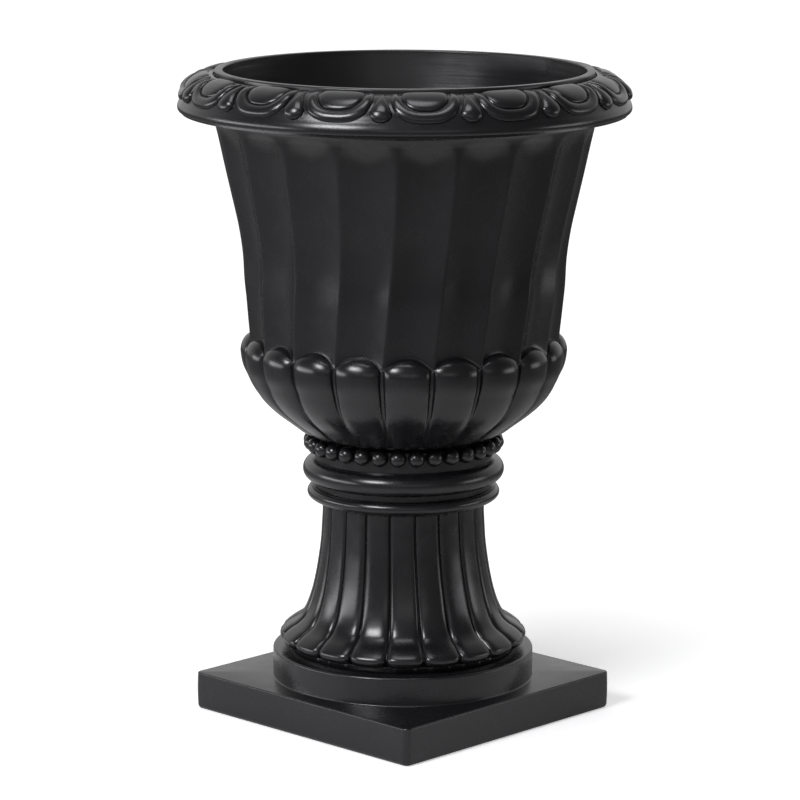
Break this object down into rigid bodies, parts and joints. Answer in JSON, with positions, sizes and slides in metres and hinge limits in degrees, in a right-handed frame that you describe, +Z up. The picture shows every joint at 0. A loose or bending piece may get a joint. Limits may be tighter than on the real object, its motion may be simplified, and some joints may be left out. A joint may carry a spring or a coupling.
{
  "type": "urn planter",
  "caption": "Classical garden urn on a square plinth, with a ribbed stem, a beaded collar, a fluted and gadrooned bowl, a swagged rim and a lift-out liner pot.",
  "frame": {"origin": "centre of the plinth's underside, on the floor", "axes": "+Z up along the urn's axis, X and Y along the plinth's sides"},
  "size_m": [0.4892, 0.4892, 0.711],
  "materials": {
    "urn_plastic": "satin black, moulded",
    "liner_plastic": "satin black, smooth",
    "plug_rubber": "matt",
    "fastener_steel": "zinc plated"
  },
  "bodies": {
    "urn": {"square_plinth": "urn_plastic", "ribbed_stem": "urn_plastic", "neck_collar": "urn_plastic", "bowl_shell": "urn_plastic", "rim_ring": "urn_plastic", "neck_bolts": "fastener_steel", "neck_washers": "fastener_steel", "neck_nuts": "fastener_steel", "base_screws": "fastener_steel", "rim_screws": "fastener_steel"},
    "liner": {"liner_pot": "liner_plastic"},
    "plug": {"drain_plug": "plug_rubber"}
  },
  "joints": [
    {"name": "liner_lift", "type": "slide", "parent": "urn", "child": "liner", "axis": [0, 0, 1], "range_m": [0, 0.33]},
    {"name": "plug_pull", "type": "slide", "parent": "liner", "child": "plug", "axis": [0, 0, 1], "range_m": [0, 0.04]}
  ]
}
